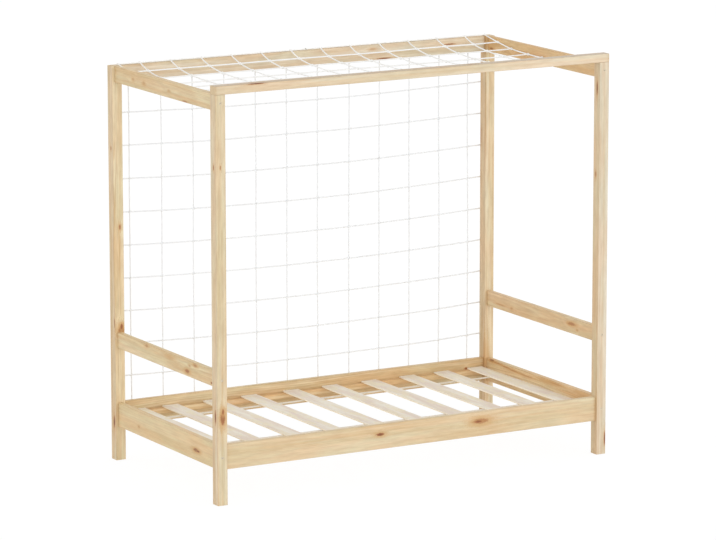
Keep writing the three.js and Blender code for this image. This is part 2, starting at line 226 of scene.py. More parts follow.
class Shader:
    """A material under construction, with short calls for the nodes that it is made of."""

    def __init__(self, name):
        self.material = bpy.data.materials.new(name)
        self.material.use_nodes = True
        self.tree = self.material.node_tree
        self.surface = self.tree.nodes["Principled BSDF"]

    def link(self, value, socket):
        if isinstance(value, bpy.types.NodeSocket):
            self.tree.links.new(value, socket)
        else:
            socket.default_value = value

    def math(self, operation, a, b=0.0):
        return math_node(self.tree, operation, a, b)

    def add(self, a, b):
        return self.math("ADD", a, b)

    def minus(self, a, b):
        return self.math("SUBTRACT", a, b)

    def times(self, a, b):
        return self.math("MULTIPLY", a, b)

    def vector(self, x, y, z):
        node = self.tree.nodes.new("ShaderNodeCombineXYZ")
        for value, socket in zip((x, y, z), node.inputs):
            self.link(value, socket)
        return node.outputs[0]

    def split(self, vector):
        node = self.tree.nodes.new("ShaderNodeSeparateXYZ")
        self.tree.links.new(vector, node.inputs[0])
        return node.outputs

    def coordinates(self, kind):
        return self.tree.nodes.new("ShaderNodeTexCoord").outputs[kind]

    def noise(self, parts, pattern, seed=0.0, colour=False):
        """Noise over three values, each stretched by the pattern's scale for it."""
        node = self.tree.nodes.new("ShaderNodeTexNoise")
        stretched = [self.times(part, scale) for part, scale in zip(parts, pattern.scales)]
        stretched[0] = self.add(stretched[0], seed * pattern.seed_factor)
        self.tree.links.new(self.vector(*stretched), node.inputs["Vector"])
        node.inputs["Scale"].default_value = 1
        node.inputs["Detail"].default_value = pattern.detail
        node.inputs["Roughness"].default_value = pattern.roughness
        return node.outputs["Color" if colour else "Fac"]

    def centred(self, value):
        """A noise moved so that it swings to both sides of zero."""
        return self.minus(value, NOISE_MIDDLE)

    def ramp(self, value, low, high, start=0.0, end=1.0):
        """A smooth step from start to end while the value goes from low to high."""
        node = self.tree.nodes.new("ShaderNodeMapRange")
        node.interpolation_type = "SMOOTHSTEP"
        limits = {"From Min": low, "From Max": high, "To Min": start, "To Max": end}
        for name, number in limits.items():
            node.inputs[name].default_value = number
        self.link(value, node.inputs["Value"])
        return node.outputs[0]

    def fade(self, value, low, high, full=1.0):
        """A smooth step from full down to nothing while the value goes from low to high."""
        return self.ramp(value, low, high, full, 0.0)

    def mix(self, share, a, b, blend="MIX"):
        node = self.tree.nodes.new("ShaderNodeMix")
        node.data_type = "RGBA"
        node.blend_type = blend
        self.link(share, node.inputs["Factor"])
        for value, index in ((a, MIX_FIRST), (b, MIX_SECOND)):
            is_socket = isinstance(value, bpy.types.NodeSocket)
            self.link(value if is_socket else (*value, 1), node.inputs[index])
        return node.outputs[MIX_RESULT]

    def shade(self, colour, tint, share=1):
        """Multiplies a colour by a tint, wholly or by a share."""
        return self.mix(share, colour, tint, "MULTIPLY")

    def bump(self, height, distance, strength=BUMP_STRENGTH):
        node = self.tree.nodes.new("ShaderNodeBump")
        node.inputs["Distance"].default_value = distance
        node.inputs["Strength"].default_value = strength
        self.link(height, node.inputs["Height"])
        return node.outputs[0]

    def facing(self):
        """How squarely a point looks along each axis, either way: 0 across it and 1 along it."""
        return [self.math("ABSOLUTE", part) for part in self.split(self.coordinates("Normal"))]

    def edge_share(self):
        """How much a point lies on a rounded or slanted edge: 0 on a flat face, 1 on the edge."""
        x, y, z = self.facing()
        largest = self.math("MAXIMUM", self.math("MAXIMUM", x, y), z)
        return self.ramp(largest, *EDGE_RANGE)

    def finish(self, colour, roughness, normal):
        self.link(colour, self.surface.inputs["Base Color"])
        self.link(roughness, self.surface.inputs["Roughness"])
        self.link(normal, self.surface.inputs["Normal"])
        return self.material


# Pine. Each piece is cut from a log whose heart lies outside it, and its grain runs along one
# axis.

PINE_PALE = (0.860, 0.720, 0.490)
PINE_WARM = (0.770, 0.580, 0.335)
PINE_LATE = (0.560, 0.345, 0.145)
PINE_END_PALE = (0.74, 0.57, 0.35)
PINE_END_LATE = (0.600, 0.430, 0.240)
# Painted shade along the rounded edges of the pine pieces
PINE_EDGE_PAINTED_SHADE = (0.88, 0.83, 0.75)

# How far the heart lies from a piece's middle, and how far it turns about it, in radians, from
# one piece to the next
HEART_AWAY = 55 * MM
HEART_TURN = 2.4
PINE_SEED = 3.3
PINE_SEED_STEP = 7.7

# The growth rings, which wander and tremble about their circles, and the shares of each ring's
# width over which its dark late wood comes and goes
RING_WIDTH = 3.4 * MM
RING_WANDER = 11 * MM
RING_TREMBLE = 0.7 * MM
RING_UNEVENNESS = 2.5
LATE_RISE = (0.30, 0.88)
LATE_FALL = (0.90, 1.0)

# The wood's noises. Their first scale is along the grain, but that of UNEVEN is across the
# rings.
SHAKE = Pattern((0.9, 0, 0), detail=1.5)
TREMBLE = Pattern((7, 60, 60))
UNEVEN = Pattern((55, 0, 0), detail=1)
STREAK = Pattern((1.1, 115, 0), detail=1)
PATCH = Pattern((1.6, 24, 24), roughness=0.55)
HUE = Pattern((4, 26, 26), roughness=0.6, seed_factor=2.3)
LATE_STRENGTH = Pattern((1.3, 80, 0), detail=1, seed_factor=3.1)
PINE_FIBRE = Pattern((16, 950, 950), detail=3, roughness=0.6)
CLOUD = Pattern((11, 90, 90), detail=3, roughness=0.65, seed_factor=1.7)
DUCT = Pattern((28, 1500, 1500), detail=1)

# How much each of them does, and the part of its values over which it does so
STREAK_SHARE = 0.55
WARMTH_REACH = 0.16
HUE_RANGE = (0.32, 0.68)
ROSY = (1.03, 0.965, 0.940)
STRAW = (0.980, 1.025, 1.045)
LATE_STRENGTH_RANGE = (0.3, 0.7)
LATE_WOOD_SHARE = 0.30
WEAKEST_LATE_SHARE = 1 / 3
FIBRE_SHARE = 0.5
FIBRE_DARK = (0.84, 0.81, 0.77)
CLOUD_RANGE = (0.3, 0.7)
CLOUD_DARK = (0.90, 0.875, 0.85)
CLOUD_PALE = (1.05, 1.065, 1.08)
SPECK_RANGE = (0.66, 0.74)
DUCT_SHARE = 0.22

# A knot's colours and how far from its middle each reaches, where 1 is its edge. The rim and
# the heart grow with how dark the knot is, and only a dark one has a heart.
KNOT_HEART = (0.150, 0.058, 0.020)
KNOT_RIM = (0.400, 0.145, 0.050)
# The halo's colour also paints one shadow, on the back right post beside the bottom rail
KNOT_HALO_AND_PAINTED_SHADOW = (0.640, 0.370, 0.140)
HALO_RANGE = (0.8, 2.9)
HALO_SHARE = 0.75
RIM_RANGE = (0.65, 1.2)
RIM_GAIN = 1.4
HEART_RANGE = (0.15, 0.85)
HEART_GAIN = 1.9
# Its shape, its ragged edge, and how it pushes the rings aside
KNOT_DEPTH = 9 * MM
KNOT_ROUNDNESS = 1.7
KNOT_EDGE = Pattern((230, 230, 230), roughness=0.6)
KNOT_SEED = 90
KNOT_RAGGED = 0.9
KNOT_PUSH = 5 * MM
PUSH_RANGE = (0.7, 4.0)

# Faces that look along an axis, end grain, and painted shadow near the ends of rails and ledgers
FACE_RANGE = (0.5, 0.9)
END_GRAIN_RANGE = (0.7, 0.9)
JOINT_SHADOW_REACH = 12 * MM
JOINT_PAINTED_SHADOW = (0.90, 0.84, 0.76)

PINE_ROUGHNESS = (0.50, 0.66)
LATE_GLOSS = 0.07
FIBRE_HEIGHT = 0.6
LATE_HEIGHT = 0.5
PINE_RELIEF = 0.12 * MM
PINE_BUMP = 0.6

# Where the knots and streaks show, and a painted shadow beside the right bottom rail. Each is a
# point on a face in millimetres, the axis that the face looks along, its half length and half
# width in millimetres, and, from 0 to 1, how dark it is and how orange its surroundings are.
KNOTS = {
    "post_front_left": [
        ((-830, -413, 1238), "x", 11, 4, 0.6, 0.7), ((-830, -414.5, 326), "x", 29, 5.0, 1.0, 0.6),
        ((-811, -430, 1238), "y", 8, 3, 0.5, 0.6), ((-808.3, -430, 322), "y", 25, 10, 0.64, 1),
        ((-807, -430, 347), "y", 11, 5, 0.6, 0.9), ((-812, -390, 820), "y", 8, 5, 0.7, 0.8)],
    "post_back_left": [
        ((-805, 390, 892), "y", 11, 4, 0.6, 0.8), ((-804, 390, 499), "y", 15, 11.5, 0.85, 1),
        ((-802.5, 390, 513), "y", 12, 6, 0.7, 0.9), ((-804, 390, 480), "y", 9, 7, 0.25, 1),
        ((-830, 408, 1190), "x", 8, 4, 0.5, 0.6), ((-830, 404.5, 147), "x", 26, 6, 1.0, 0.8),
        ((-830, 394.5, 528), "x", 22, 2.4, 0.7, 0.4)],
    "end_bottom_rail_left": [
        ((-820, -241, 168.5), "x", 22, 7, 1.0, 0.9), ((-820, -258, 167), "x", 14, 4, 0.9, 0.6),
        ((-820, 220, 163), "x", 7, 4, 0.3, 0.6)],
    "mid_side_rail_left": [
        ((-820, -177, 451), "x", 17, 7, 0.6, 1), ((-820, -240, 483), "x", 15, 5, 0.4, 0.9),
        ((-820, -196, 474), "x", 8, 4, 0.25, 0.6), ((-820, 149, 485), "x", 12, 5, 0.35, 0.7),
        ((-820, -40, 477), "x", 26, 5, 0.1, 0.8), ((-820, -367, 443), "x", 7, 4, 0.7, 0.5)],
    "front_bottom_rail": [
        ((-148, -420, 185.5), "y", 18, 6.5, 0.9, 0.8),
        ((281, -420, 186.5), "y", 34, 10.5, 0.55, 1), ((273, -420, 186), "y", 17, 5, 0.8, 0.5)],
    "mid_side_rail_right": [
        ((800, -213, 466.5), "x", 10, 4, 0.95, 0.9), ((800, -233, 469.5), "x", 26, 6.5, 0.5, 1),
        ((800, -271, 452), "x", 8, 4, 0.25, 0.7), ((800, 205, 452), "x", 9, 4, 0.35, 0.7),
        ((800, 289, 452.5), "x", 34, 2.5, 0.35, 0.8)],
    "post_front_right": [
        ((790, -407, 1075), "x", 12, 4, 0.5, 0.6), ((790, -411.3, 1402), "x", 30, 4, 1.0, 0.6),
        ((826.5, -430, 60), "y", 30, 3.6, 0.9, 0.6)],
    "post_back_right": [
        ((790, 424, 1106), "x", 44, 3, 0.55, 0.5), ((808, 430, 640), "y", 11, 6, 0.7, 0.8),
        # The first mark here, beside the right bottom rail, is painted shadow: a halo with no knot
        # in it
        ((796, 390, 205), "y", 60, 11, 0.0, 0.9), ((790, 408, 1476), "x", 28, 12, 0.0, 1)],
    "top_side_rail_left": [
        ((-820, 238, 1471), "x", 9, 5, 0.2, 0.7), ((-820, 150, 1468), "x", 10, 6, 0.2, 0.7),
        ((-820, -50, 1466), "x", 8, 4, 0.15, 0.6), ((-820, -177, 1444), "x", 22, 3, 0.5, 0.5)],
    "back_top_rail": [
        ((632, 400, 1478.5), "y", 27, 2.6, 0.8, 0.5), ((339, 400, 1444.5), "y", 36, 2.8, 0.8, 0.4),
        ((288, 400, 1484), "y", 14, 4, 0.2, 0.7), ((-410, 420, 1466), "y", 10, 6, 0.7, 0.8)],
    "front_top_rail": [
        ((-663, -430, 1530), "y", 38, 2.6, 0.85, 0.3), ((240, -410, 1531), "z", 12, 6, 0.3, 0.6)],
    "back_bottom_rail": [
        ((711, 400, 186), "y", 7, 5, 0.75, 0.8), ((-250, 420, 168), "y", 15, 7, 0.7, 0.8)],
    "end_bottom_rail_right": [
        ((800, 348, 217), "x", 20, 6, 1.0, 1), ((800, 305, 214.6), "x", 34, 2.2, 0.5, 1),
        ((800, 243, 210.8), "x", 36, 2.2, 0.5, 1), ((800, 182, 207), "x", 34, 2.2, 0.5, 1),
        ((800, 94, 204), "x", 52, 2.6, 0.3, 0.8), ((800, -62, 213), "x", 45, 7, 0.0, 0.9),
        ((800, -124, 213.5), "x", 46, 2.4, 0.25, 0.8), ((800, -300, 212), "x", 30, 4, 0.0, 0.5)],
    "top_side_rail_right": [
        ((800, -120, 1470), "x", 10, 5, 0.4, 0.6), ((820, 210, 1462), "x", 9, 5, 0.6, 0.8),
        ((800, 364, 1454), "x", 14, 4, 0.6, 1), ((800, 360, 1480), "x", 40, 9, 0.0, 0.7)],
}

# How each piece's wood differs from the usual: a share of each colour, how strong its figure is,
# and for some pieces painted light and shade, mostly shade, on the faces that look along one axis
Wood = namedtuple("Wood", "tint figure face_axis face_tint", defaults=(None, None))
WOODS = {
    "post_front_left": Wood((0.96, 1.00, 1.02), 1.2, "x", (1.01, 1.00, 1.05)),
    "post_back_left": Wood((1.01, 1.03, 1.01), 1.5, "x", (0.92, 0.91, 0.94)),
    "post_front_right": Wood((0.98, 1.06, 1.25), 0.8, "x", (0.93, 0.85, 0.72)),
    "post_back_right": Wood((1.00, 1.02, 1.04), 1.5, "x", (0.86, 0.79, 0.73)),
    "front_bottom_rail": Wood((0.98, 0.98, 0.97), 0.75),
    "front_top_rail": Wood((1.01, 1.05, 1.16), 0.8, "z", (0.80, 0.79, 0.83)),
    "back_bottom_rail": Wood((0.93, 0.91, 0.85), 1.5),
    "back_top_rail": Wood((0.99, 1.07, 1.25), 1.2),
    "end_bottom_rail_left": Wood((0.99, 0.96, 0.87), 0.75),
    "mid_side_rail_left": Wood((0.99, 0.99, 0.94), 1.1),
    "top_side_rail_left": Wood((0.97, 0.96, 0.90), 1.1),
    "end_bottom_rail_right": Wood((0.95, 0.87, 0.75), 2.0),
    "mid_side_rail_right": Wood((0.99, 0.96, 0.93), 1.4),
    "top_side_rail_right": Wood((0.99, 0.88, 0.74), 1.2),
    "slat_ledger_front": Wood((1.00, 0.88, 0.75), 1.4),
    "slat_ledger_back": Wood((1.00, 0.88, 0.75), 1.4),
}

# Which way the grain of each kind of piece runs
GRAIN = {
    "post": "z", "front_top_rail": "x", "back_top_rail": "x", "front_bottom_rail": "x",
    "back_bottom_rail": "x", "top_side_rail": "y", "mid_side_rail": "y", "end_bottom_rail": "y",
    "slat_ledger": "x",
}

Knot = namedtuple("Knot", "place half dark halo")


def knots_of(node, grain_axis):
    found = []
    for place, face, half_length, half_width, dark, halo in KNOTS.get(node, ()):
        half = [half_width * MM] * 3
        half[grain_axis] = half_length * MM
        half[AXES[face]] = KNOT_DEPTH
        found.append(Knot(at(*place), half, dark, halo))
    return found


class Pine(Shader):
    """Pine for one piece. Its number sets its seed and where its log's heart lies."""

    def __init__(self, node, axis_name, number):
        super().__init__("pine_" + node)
        self.wood = WOODS[node]
        self.seed = PINE_SEED + PINE_SEED_STEP * number
        self.axis = AXES[axis_name]
        low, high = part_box(node)
        self.start, self.end = low[self.axis], high[self.axis]
        first, second = [i for i in range(3) if i != self.axis]
        centre = middle(node)
        turn = HEART_TURN * number
        self.heart = (centre[first] + HEART_AWAY * math.cos(turn),
                      centre[second] + HEART_AWAY * math.sin(turn))
        self.parts = self.split(self.coordinates("Object"))
        self.place = (self.parts[self.axis], self.parts[first], self.parts[second])
        self.knots = knots_of(node, self.axis)
        self.distances = [self.distance_from(knot) for knot in self.knots]

    def distance_from(self, knot):
        """How far each point is from a knot's middle, where 1 is its ragged edge."""
        shares = []
        for part, centre, half in zip(self.parts, knot.place, knot.half):
            offset = self.times(self.minus(part, centre), 1 / half)
            shares.append(self.math("POWER", self.math("ABSOLUTE", offset), KNOT_ROUNDNESS))
        total = self.add(self.add(shares[0], shares[1]), shares[2])
        distance = self.math("POWER", total, 1 / KNOT_ROUNDNESS)
        ragged = self.noise(self.parts, KNOT_EDGE, knot.place.length * KNOT_SEED)
        return self.times(distance, self.add(self.times(self.centred(ragged), KNOT_RAGGED), 1))

    def radius(self):
        """How far each point is from the log's heart, as its rings lie."""
        shake = self.split(self.noise(self.place, SHAKE, self.seed, colour=True))
        squares = []
        for part, centre, sway in zip(self.place[1:], self.heart, shake):
            wander = self.times(self.centred(sway), 2 * RING_WANDER)
            offset = self.add(self.minus(part, centre), wander)
            squares.append(self.times(offset, offset))
        radius = self.math("SQRT", self.add(*squares))
        tremble = self.noise(self.place, TREMBLE, self.seed)
        radius = self.add(radius, self.times(self.centred(tremble), 2 * RING_TREMBLE))
        for distance in self.distances:
            radius = self.add(radius, self.fade(distance, *PUSH_RANGE, KNOT_PUSH))
        return radius

    def late_wood(self, radius):
        """How far each point is in the dark late wood of its ring, from 0 to 1."""
        uneven = self.noise((radius, radius, radius), UNEVEN, self.seed)
        phase = self.add(self.times(radius, 1 / RING_WIDTH), self.times(uneven, RING_UNEVENNESS))
        ring = self.math("FRACT", phase)
        return self.math("MINIMUM", self.ramp(ring, *LATE_RISE), self.fade(ring, *LATE_FALL))

    def plain_colour(self, radius, late, fibre):
        """The wood without its knots. Broad streaks and the strength of the late wood follow the
        rings, and patches lie over several of them."""
        pale, warm, dark = (
            [value * share for value, share in zip(colour, self.wood.tint)]
            for colour in (PINE_PALE, PINE_WARM, PINE_LATE))
        figure = self.wood.figure
        along_rings = (self.place[0], radius, radius)
        streak = self.noise(along_rings, STREAK, self.seed)
        patch = self.noise(self.place, PATCH, self.seed)
        warmth = self.add(self.times(streak, STREAK_SHARE), self.times(patch, 1 - STREAK_SHARE))
        reach = WARMTH_REACH / figure
        warm_share = self.ramp(warmth, NOISE_MIDDLE - reach, NOISE_MIDDLE + reach)
        colour = self.mix(warm_share, pale, warm)
        hue = self.noise(self.place, HUE, self.seed)
        colour = self.shade(colour, self.mix(self.ramp(hue, *HUE_RANGE), ROSY, STRAW))

        strength = self.noise(along_rings, LATE_STRENGTH, self.seed)
        strongest = min(LATE_WOOD_SHARE * figure, 1)
        weakest = strongest * WEAKEST_LATE_SHARE
        late_share = self.ramp(strength, *LATE_STRENGTH_RANGE, weakest, strongest)
        colour = self.mix(self.times(late, late_share), colour, dark)

        colour = self.shade(colour, self.mix(fibre, FIBRE_DARK, WHITE), FIBRE_SHARE)
        cloud = self.noise(self.place, CLOUD, self.seed)
        clouds = self.mix(self.ramp(cloud, *CLOUD_RANGE), CLOUD_DARK, CLOUD_PALE)
        colour = self.shade(colour, clouds, min(figure, 1))
        duct = self.noise(self.place, DUCT, self.seed)
        duct_share = self.times(self.ramp(duct, *SPECK_RANGE), DUCT_SHARE)
        return self.mix(duct_share, colour, dark)

    def add_knots(self, colour):
        for knot, distance in zip(self.knots, self.distances):
            halo = self.fade(distance, *HALO_RANGE, HALO_SHARE * knot.halo)
            rim = self.fade(distance, *RIM_RANGE, min(RIM_GAIN * knot.dark, 1))
            heart = self.fade(distance, *HEART_RANGE, max(HEART_GAIN * knot.dark - 1, 0))
            colour = self.mix(halo, colour, KNOT_HALO_AND_PAINTED_SHADOW)
            colour = self.mix(rim, colour, KNOT_RIM)
            colour = self.mix(heart, colour, KNOT_HEART)
        return colour

    def add_faces(self, colour, late):
        """Painted light and shade on some faces, painted shade at joints and edges, and end grain.
        """
        facing = self.facing()
        # Painted light and shade, mostly shade, on the faces that look along one axis
        if self.wood.face_axis:
            share = self.ramp(facing[AXES[self.wood.face_axis]], *FACE_RANGE)
            colour = self.shade(colour, self.wood.face_tint, share)
        # Painted contact shadow near the ends of rails and ledgers, where they meet other parts
        if self.axis != AXES["z"]:
            from_end = self.math("MINIMUM", self.minus(self.place[0], self.start),
                                 self.minus(self.end, self.place[0]))
            colour = self.shade(colour, JOINT_PAINTED_SHADOW, self.fade(from_end, 0, JOINT_SHADOW_REACH))
        end_grain = self.mix(late, PINE_END_PALE, PINE_END_LATE)
        end_share = self.ramp(facing[self.axis], *END_GRAIN_RANGE)
        colour = self.mix(end_share, colour, end_grain)
        # Painted shade along the edges
        return self.shade(colour, PINE_EDGE_PAINTED_SHADE, self.edge_share())

    def complete(self):
        radius = self.radius()
        late = self.late_wood(radius)
        fibre = self.noise(self.place, PINE_FIBRE, self.seed)
        colour = self.plain_colour(radius, late, fibre)
        colour = self.add_faces(self.add_knots(colour), late)
        dull = self.ramp(fibre, 0, 1, *PINE_ROUGHNESS)
        roughness = self.add(self.times(late, -LATE_GLOSS), dull)
        height = self.add(self.times(fibre, FIBRE_HEIGHT), self.times(late, LATE_HEIGHT))
        return self.finish(colour, roughness, self.bump(height, PINE_RELIEF, PINE_BUMP))


# Dressing the pieces of the frame

WELD_REACH = 0.01 * MM
CREASE_ANGLE = math.radians(50)
FLAT_FACE_WEIGHT = 100


def soften_edges(node):
    """Smooth shading over the rounded edges, with the flat faces kept flat."""
    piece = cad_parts[node]
    for face in piece.data.polygons:
        face.use_smooth = True
    weld = piece.modifiers.new("weld", "WELD")
    weld.merge_threshold = WELD_REACH
    crease = piece.modifiers.new("crease", "EDGE_SPLIT")
    crease.split_angle = CREASE_ANGLE
    weighted = piece.modifiers.new("weighted", "WEIGHTED_NORMAL")
    weighted.weight = FLAT_FACE_WEIGHT


def dress(node, material):
    """Gives a piece of the frame its material."""
    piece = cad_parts[node]
    piece.data.materials.clear()
    piece.data.materials.append(material)
    soften_edges(node)


def dress_timber():
    for number, node in enumerate(sorted(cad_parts)):
        for kind, axis_name in GRAIN.items():
            if node.startswith(kind):
                dress(node, Pine(node, axis_name, number).complete())


# Slats of pale birch, with painted light near their ends at the back, where the back rail shades
# them.

SLAT_COUNT = 10
BIRCH_PALE = (0.950, 0.895, 0.775)
BIRCH_PINK = (0.850, 0.725, 0.608)
BIRCH_BROAD = Pattern((34, 5, 34), detail=3)
BIRCH_BROAD_RANGE = (0.34, 0.66)
BIRCH_STRAW = (0.920, 0.825, 0.600)
BIRCH_SPOTS = Pattern((40, 14, 40), seed_factor=1.9)
BIRCH_SPOTS_RANGE = (0.5, 0.62)
BIRCH_STRAW_SHARE = 0.7
BIRCH_FIBRE = Pattern((1100, 18, 1100), detail=3, roughness=0.6)
BIRCH_FIBRE_DARK = (0.84, 0.81, 0.78)
BIRCH_FIBRE_SHARE = 0.45
BIRCH_FLECK = (0.600, 0.470, 0.370)
BIRCH_FLECKS = Pattern((420, 45, 420), detail=1)
BIRCH_FLECK_SHARE = 0.35
# Painted light that lifts the shade near the slats' back ends
BIRCH_END_PAINTED_LIGHT = (0.980, 0.930, 0.830)
BIRCH_PAINTED_LIGHT_REACH = 28 * MM
BIRCH_PAINTED_LIGHT_SHARE = 0.9
# Painted light: a flat, lighter cream on the slats' side faces
BIRCH_SIDE_PAINTED_LIGHT = (0.960, 0.870, 0.710)
BIRCH_FACE_RANGE = (0.6, 0.95)
BIRCH_ROUGHNESS = (0.5, 0.68)
BIRCH_RELIEF = 0.08 * MM
BIRCH_SEED_STEP = 5.1


def birch(name, seed, rear):
    """Birch for one slat, whose end at the back lies at rear."""
    shader = Shader(name)
    parts = shader.split(shader.coordinates("Object"))
    broad = shader.noise(parts, BIRCH_BROAD, seed)
    colour = shader.mix(shader.ramp(broad, *BIRCH_BROAD_RANGE), BIRCH_PALE, BIRCH_PINK)
    spots = shader.ramp(shader.noise(parts, BIRCH_SPOTS, seed), *BIRCH_SPOTS_RANGE)
    colour = shader.mix(shader.times(spots, BIRCH_STRAW_SHARE), colour, BIRCH_STRAW)
    fibre = shader.noise(parts, BIRCH_FIBRE, seed)
    fibres = shader.mix(fibre, BIRCH_FIBRE_DARK, WHITE)
    colour = shader.shade(colour, fibres, BIRCH_FIBRE_SHARE)
    flecks = shader.ramp(shader.noise(parts, BIRCH_FLECKS, seed), *SPECK_RANGE)
    colour = shader.mix(shader.times(flecks, BIRCH_FLECK_SHARE), colour, BIRCH_FLECK)
    # Painted light near the back end, against the back rail's shade
    painted_end_light = shader.ramp(parts[1], rear - BIRCH_PAINTED_LIGHT_REACH, rear, 0.0, BIRCH_PAINTED_LIGHT_SHARE)
    colour = shader.mix(painted_end_light, colour, BIRCH_END_PAINTED_LIGHT)
    # The side faces take a flat colour lighter than the tops: painted light
    upright = shader.facing()[AXES["z"]]
    colour = shader.mix(shader.fade(upright, *BIRCH_FACE_RANGE), colour, BIRCH_SIDE_PAINTED_LIGHT)
    roughness = shader.ramp(fibre, 0, 1, *BIRCH_ROUGHNESS)
    return shader.finish(colour, roughness, shader.bump(fibre, BIRCH_RELIEF))


def dress_slats():
    for number in range(1, SLAT_COUNT + 1):
        node = f"slat_{number}"
        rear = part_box(node)[1].y
        dress(node, birch(node, BIRCH_SEED_STEP * number, rear))


# Turned dowels and metal fixings

DOWEL_COLOUR = (0.70, 0.49, 0.27)
DOWEL_PINK = (0.70, 0.55, 0.40)
DOWEL_FIBRE = Pattern((60, 900, 900), detail=3)
DOWEL_ROUGHNESS = 0.6
DOWEL_RELIEF = 0.08 * MM
YELLOW_ZINC_PALE = (0.80, 0.71, 0.56)
YELLOW_ZINC_DARK = (0.68, 0.59, 0.45)
WHITE_ZINC_PALE = (0.62, 0.60, 0.55)
WHITE_ZINC_DARK = (0.40, 0.38, 0.34)
ZINC_CLOUD = Pattern((320, 320, 320), detail=3)
ZINC_CLOUD_RANGE = (0.35, 0.7)
SCRATCHES = Pattern((2600, 300, 2600))
SCRATCH_RANGE = (0.2, 0.8)
SCRATCH_DEPTH = 0.03 * MM
METAL_ROUGHNESS = (0.42, 0.62)


def metal(name, pale, dark):
    shader = Shader(name)
    parts = shader.split(shader.coordinates("Object"))
    cloud = shader.noise(parts, ZINC_CLOUD)
    colour = shader.mix(shader.ramp(cloud, *ZINC_CLOUD_RANGE), pale, dark)
    scratch = shader.noise(parts, SCRATCHES)
    shader.surface.inputs["Metallic"].default_value = 1
    roughness = shader.ramp(scratch, *SCRATCH_RANGE, *METAL_ROUGHNESS)
    return shader.finish(colour, roughness, shader.bump(scratch, SCRATCH_DEPTH))


def dowel_wood(name):
    shader = Shader(name)
    parts = shader.split(shader.coordinates("Object"))
    fibre = shader.noise(parts, DOWEL_FIBRE)
    colour = shader.mix(fibre, DOWEL_COLOUR, DOWEL_PINK)
    return shader.finish(colour, DOWEL_ROUGHNESS, shader.bump(fibre, DOWEL_RELIEF))


def dress_fixings():
    brown_metal = metal("yellow_zinc", YELLOW_ZINC_PALE, YELLOW_ZINC_DARK)
    grey_metal = metal("zinc", WHITE_ZINC_PALE, WHITE_ZINC_DARK)
    beech = dowel_wood("dowel_beech")
    for node in sorted(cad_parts):
        if node.startswith("screw"):
            dress(node, brown_metal)
        elif node.startswith("net_staple"):
            dress(node, grey_metal)
        elif node.startswith("dowel"):
            dress(node, beech)
    add_ledger_screws(brown_metal)


# Helpers for new pieces

def join_rings(bm, first, second):
    """A closed band of faces between two rings of points."""
    faces = []
    for k in range(len(first)):
        m = (k + 1) % len(first)
        faces.append(bm.faces.new((first[k], first[m], second[m], second[k])))
    return faces


def piece_from(bm, name, material):
    """Turns a finished bmesh into an object of the scene."""
    mesh = bpy.data.meshes.new(name)
    bm.to_mesh(mesh)
    bm.free()
    mesh.materials.append(material)
    piece = bpy.data.objects.new(name, mesh)
    scene.collection.objects.link(piece)
    return piece


# The heads of the small screws that hold the ledgers, sunk nearly flush and with a cross
# recess. Each lies beside the middle of a slat, at every second slat.

SCREW_SIDES = 32
SCREW_HEAD = 3.7 * MM
SCREW_RIM = 4.0 * MM
SCREW_PROUD = 0.15 * MM
CROSS_LONG, CROSS_SHORT = 2.1 * MM, 0.8 * MM
CROSS_ARM = math.radians(17)
CROSS_DEPTH = 1.1 * MM
SCREW_ASIDE = 20 * MM
SLATS_PER_SCREW = 2


def screw_head(bm, place, outward):
    """A flat screw head in the XZ plane that looks along Y, forwards or backwards."""
    quarter = math.pi / 2
    angles = [2 * math.pi * k / SCREW_SIDES for k in range(SCREW_SIDES)]
    cross = [
        CROSS_LONG if min(angle % quarter, quarter - angle % quarter) < CROSS_ARM else CROSS_SHORT
        for angle in angles]
    outlines = (
        ([SCREW_RIM] * SCREW_SIDES, 0), ([SCREW_HEAD] * SCREW_SIDES, SCREW_PROUD),
        (cross, SCREW_PROUD), (cross, SCREW_PROUD - CROSS_DEPTH))
    rings = []
    for radii, height in outlines:
        ring = []
        for radius, angle in zip(radii, angles):
            x, z = radius * math.cos(angle), radius * math.sin(angle)
            ring.append(bm.verts.new(place + Vector((x, outward * height, z))))
        rings.append(ring)
    for outer, inner in zip(rings, rings[1:]):
        join_rings(bm, outer, inner)
    bm.faces.new(rings[-1])


def add_ledger_screws(material):
    bm = bmesh.new()
    for node, outward in (("slat_ledger_front", 1), ("slat_ledger_back", -1)):
        low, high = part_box(node)
        y = high.y if outward > 0 else low.y
        for number in range(1, SLAT_COUNT + 1, SLATS_PER_SCREW):
            x = middle(f"slat_{number}").x + SCREW_ASIDE
            screw_head(bm, Vector((x, y, (low.z + high.z) / 2)), outward)
    bmesh.ops.recalc_face_normals(bm, faces=bm.faces)
    piece = piece_from(bm, "ledger_screws", material)
    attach(piece, "root")


# Woven ribbons under the slats. They dip a little in each space between two slats.

RIBBON_COLOUR = (0.980, 0.900, 0.770)
# Painted shade where the weave's threads dip, laid over uneven wear
RIBBON_SHADE = (0.860, 0.740, 0.580)
RIBBON_SHADE_RANGE = (0.2, 0.8)
RIBBON_SHADE_SHARE = 0.35
RIBBON_WEAVE_SHARE = 0.25
RIBBON_WEAR = Pattern((60, 300, 60))
RIBBON_ROUGHNESS = 0.9
RIBBON_RELIEF = 0.3 * MM
RIBBON_BUMP = 0.7
WEFT = 1.1 * MM
WARP = 1.4 * MM
RIBBON_STEP = 6 * MM
RIBBON_DIP = 0.9 * MM
RIBBON_TOP_DIP_SHARE = 0.5
RIBBON_ROWS = 4
RIBBON_EDGE = 0.3 * MM


